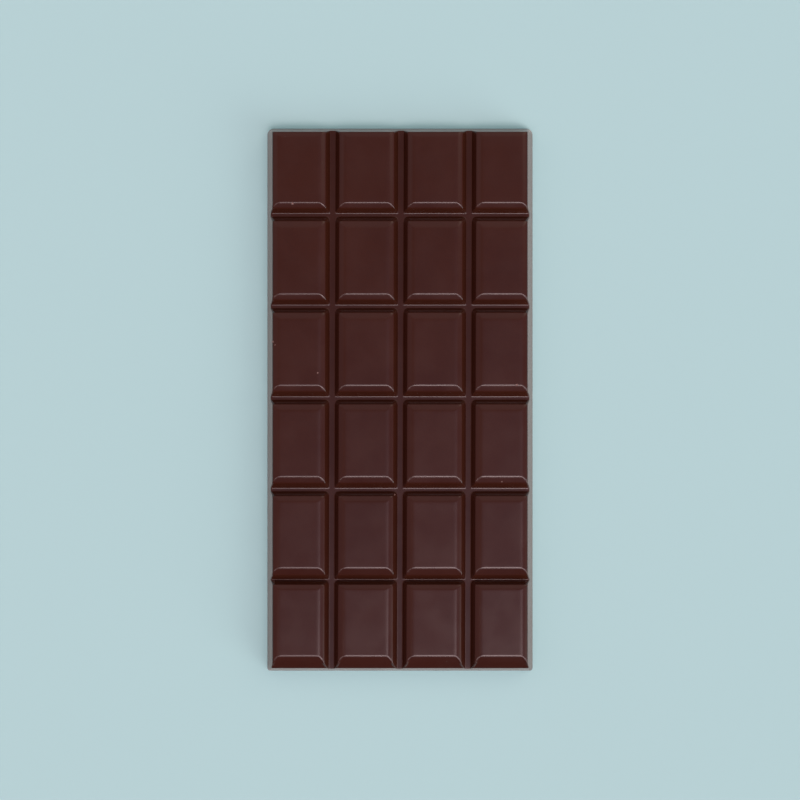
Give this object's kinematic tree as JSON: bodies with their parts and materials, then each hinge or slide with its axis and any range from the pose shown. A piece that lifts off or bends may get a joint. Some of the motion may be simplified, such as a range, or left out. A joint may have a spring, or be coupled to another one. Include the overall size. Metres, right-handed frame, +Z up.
{
  "type": "chocolate bar",
  "caption": "Moulded dark chocolate tablet with rows of raised segments, flat faces, rounded bevels and breaking grooves, on a flat underside.",
  "frame": {"origin": "middle of the flat underside", "axes": "+Z up out of the segments' faces, +Y along the length, towards the end with the rounder corners, +X across the columns"},
  "size_m": [0.0768, 0.157, 0.0075],
  "materials": {
    "dark_chocolate": "satin gloss, as it leaves a polished mould"
  },
  "bodies": {
    "root": {"chocolate_bar": "dark_chocolate"}
  },
  "joints": []
}
